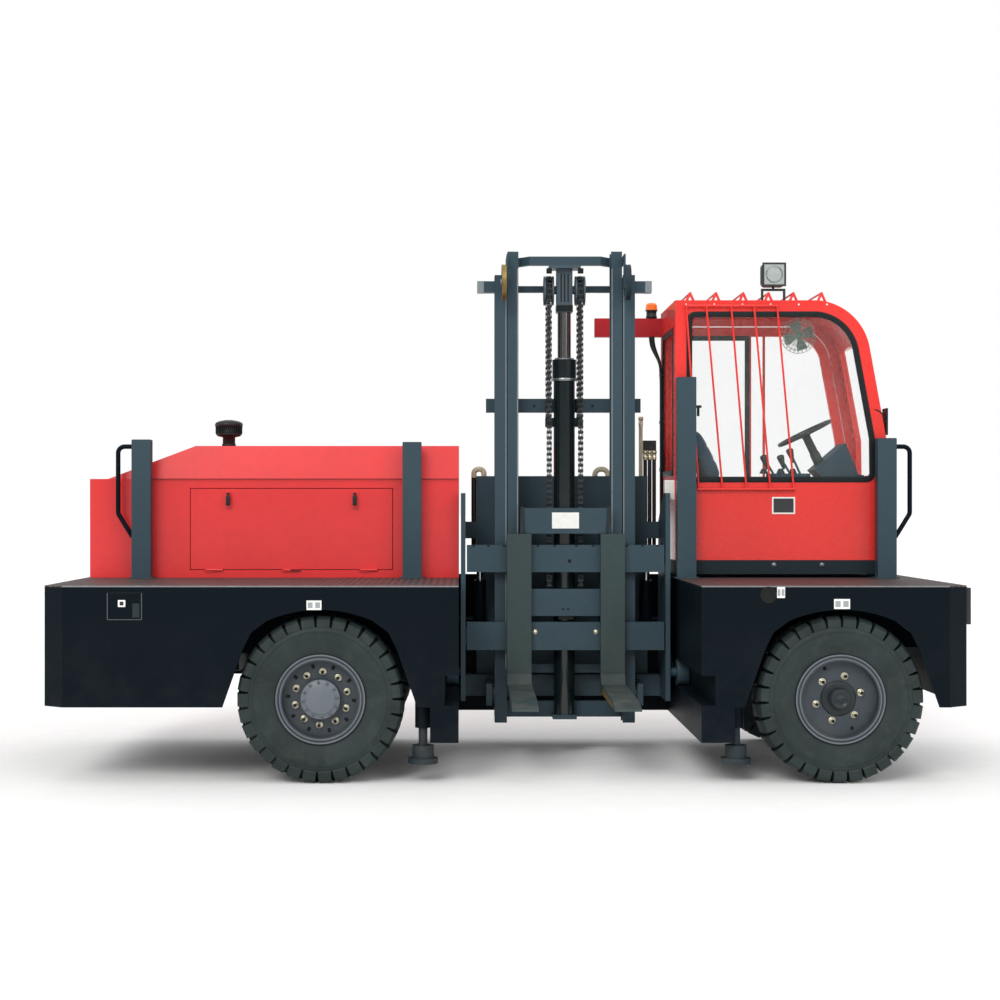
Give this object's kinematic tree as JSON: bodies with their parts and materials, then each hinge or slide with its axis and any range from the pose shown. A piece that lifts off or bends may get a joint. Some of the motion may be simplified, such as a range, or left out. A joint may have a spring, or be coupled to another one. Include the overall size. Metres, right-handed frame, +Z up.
{
  "type": "side loader forklift",
  "caption": "Diesel side loader forklift: a mast that traverses in a well between two load decks, engine hood at the rear and a guarded cab at the front.",
  "frame": {"origin": "on the ground under the middle of the machine's length and width", "axes": "+X is the driving direction (cab end), -Y the load side where the forks point, +Z up"},
  "size_m": [5.811, 2.36, 3.4978],
  "materials": {
    "frame_black": "gloss",
    "body_red": "gloss",
    "cab_red": "gloss",
    "mast_slate": "satin",
    "deck_plate": "worn",
    "rim_paint": "satin",
    "tyre_rubber": "matte",
    "engine_grey": "satin",
    "axle_iron": "satin",
    "chain_steel": "oiled",
    "rod_chrome": "polished",
    "fork_steel": "worn",
    "cab_glass_clear": "clear",
    "lamp_clear": "gloss",
    "beacon_amber": "gloss",
    "seat_fabric": "matte",
    "cab_plastic": "matte"
  },
  "bodies": {
    "chassis": {"main_frame": "frame_black", "frame_rails": "frame_black", "rear_skirts": "frame_black", "front_skirts": "frame_black", "deck_plates": "deck_plate", "traverse_rails": "frame_black", "load_posts": "mast_slate", "hand_rails": "frame_black", "jack_barrels": "frame_black", "rear_axle": "axle_iron", "front_axle": "axle_iron", "tanks": "frame_black", "hood_shell": "body_red", "hood_cover": "body_red", "engine_block": "engine_grey", "air_precleaner": "cab_plastic", "cab_base": "frame_black", "cab_near_side": "cab_red", "cab_far_side": "cab_red", "cab_rear_wall": "cab_red", "cab_front_wall": "cab_red", "cab_roof": "cab_red", "cab_glass": "cab_glass_clear", "cab_guard": "cab_red", "lamps": "lamp_clear", "beacon_beam": "cab_red", "beacon": "beacon_amber", "driver_seat": "seat_fabric", "cab_controls": "cab_plastic", "steering_wheel": "cab_plastic", "cab_fan": "cab_plastic"},
    "jack_rear": {"jack_rear": "mast_slate"},
    "jack_front": {"jack_front": "mast_slate"},
    "knuckle_near": {"knuckle_near": "axle_iron"},
    "knuckle_far": {"knuckle_far": "axle_iron"},
    "steering_rod": {"steering_rod": "rod_chrome"},
    "hood_door": {"hood_door": "body_red"},
    "cab_door": {"cab_door": "cab_red", "cab_door_glass": "cab_glass_clear"},
    "traverse": {"traverse_frame": "mast_slate", "mast_pipes": "mast_slate"},
    "outer_mast": {"outer_mast": "mast_slate", "lift_barrel": "frame_black"},
    "inner_mast": {"inner_mast": "mast_slate", "lift_rod": "rod_chrome", "chain_wraps": "chain_steel", "chain_front": "chain_steel", "chain_back": "chain_steel"},
    "fork_carriage": {"fork_carriage": "mast_slate", "forks": "fork_steel"},
    "tilt_barrels": {"tilt_barrels": "mast_slate"},
    "tilt_rods": {"tilt_rods": "rod_chrome"},
    "wheel_rear_near": {"tyre_rear_near": "tyre_rubber", "rim_rear_near": "rim_paint"},
    "wheel_rear_far": {"tyre_rear_far": "tyre_rubber", "rim_rear_far": "rim_paint"},
    "wheel_front_near": {"tyre_front_near": "tyre_rubber", "rim_front_near": "rim_paint"},
    "wheel_front_far": {"tyre_front_far": "tyre_rubber", "rim_front_far": "rim_paint"}
  },
  "joints": [
    {"name": "rear_near_spin", "type": "hinge", "parent": "chassis", "child": "wheel_rear_near", "pos_m": [-1.155, -1.0125, 0.525], "axis": [0, 1, 0], "continuous": true},
    {"name": "rear_far_spin", "type": "hinge", "parent": "chassis", "child": "wheel_rear_far", "pos_m": [-1.155, 1.0125, 0.525], "axis": [0, 1, 0], "continuous": true},
    {"name": "steer_near", "type": "hinge", "parent": "chassis", "child": "knuckle_near", "pos_m": [2.085, -0.85, 0.525], "axis": [0, 0, 1], "range_deg": [-30, 30]},
    {"name": "steer_far", "type": "hinge", "parent": "chassis", "child": "knuckle_far", "pos_m": [2.085, 0.85, 0.525], "axis": [0, 0, 1], "range_deg": [-30, 30]},
    {"name": "steer_rod_slide", "type": "slide", "parent": "chassis", "child": "steering_rod", "axis": [0, 1, 0], "range_m": [-0.106, 0.106]},
    {"name": "front_near_spin", "type": "hinge", "parent": "knuckle_near", "child": "wheel_front_near", "pos_m": [2.085, -1.0125, 0.525], "axis": [0, 1, 0], "continuous": true},
    {"name": "front_far_spin", "type": "hinge", "parent": "knuckle_far", "child": "wheel_front_far", "pos_m": [2.085, 1.0125, 0.525], "axis": [0, 1, 0], "continuous": true},
    {"name": "jack_rear_slide", "type": "slide", "parent": "chassis", "child": "jack_rear", "axis": [0, 0, -1], "range_m": [0, 0.115]},
    {"name": "jack_front_slide", "type": "slide", "parent": "chassis", "child": "jack_front", "axis": [0, 0, -1], "range_m": [0, 0.115]},
    {"name": "hood_door_hinge", "type": "hinge", "parent": "chassis", "child": "hood_door", "pos_m": [-1.457, 0.2117, 1.286], "axis": [1, 0, 0], "range_deg": [0, 88]},
    {"name": "cab_door_hinge", "type": "hinge", "parent": "chassis", "child": "cab_door", "pos_m": [1.307, 1.1643, 2.08], "axis": [0, 0, 1], "range_deg": [0, 80]},
    {"name": "traverse_slide", "type": "slide", "parent": "chassis", "child": "traverse", "axis": [0, -1, 0], "range_m": [0, 1.25]},
    {"name": "mast_tilt", "type": "hinge", "parent": "traverse", "child": "outer_mast", "pos_m": [0.443, 0.28, 0.42], "axis": [1, 0, 0], "range_deg": [-5, 3]},
    {"name": "mast_lift", "type": "slide", "parent": "outer_mast", "child": "inner_mast", "axis": [0, 0, 1], "range_m": [0, 1.65], "deforming": ["chain_back"]},
    {"name": "carriage_lift", "type": "slide", "parent": "inner_mast", "child": "fork_carriage", "axis": [0, 0, 1], "range_m": [0, 1.65], "deforming": ["chain_front"]},
    {"name": "tilt_barrel_pivot", "type": "hinge", "parent": "traverse", "child": "tilt_barrels", "pos_m": [0.443, 0.505, 0.8], "axis": [1, 0, 0], "range_deg": [-8, 4.8]},
    {"name": "tilt_rod_slide", "type": "slide", "parent": "tilt_barrels", "child": "tilt_rods", "axis": [0, -0.1875, 0.9823], "range_m": [-0.0256, 0.0154]}
  ],
  "couplings": [
    {"joint": "steer_far", "follows": "steer_near", "ratio": 1},
    {"joint": "steer_rod_slide", "follows": "steer_near", "m_per_rad": -0.2},
    {"joint": "carriage_lift", "follows": "mast_lift", "ratio": 1},
    {"joint": "tilt_barrel_pivot", "follows": "mast_tilt", "ratio": 1.5913},
    {"joint": "tilt_rod_slide", "follows": "mast_tilt", "m_per_rad": 0.2923}
  ]
}
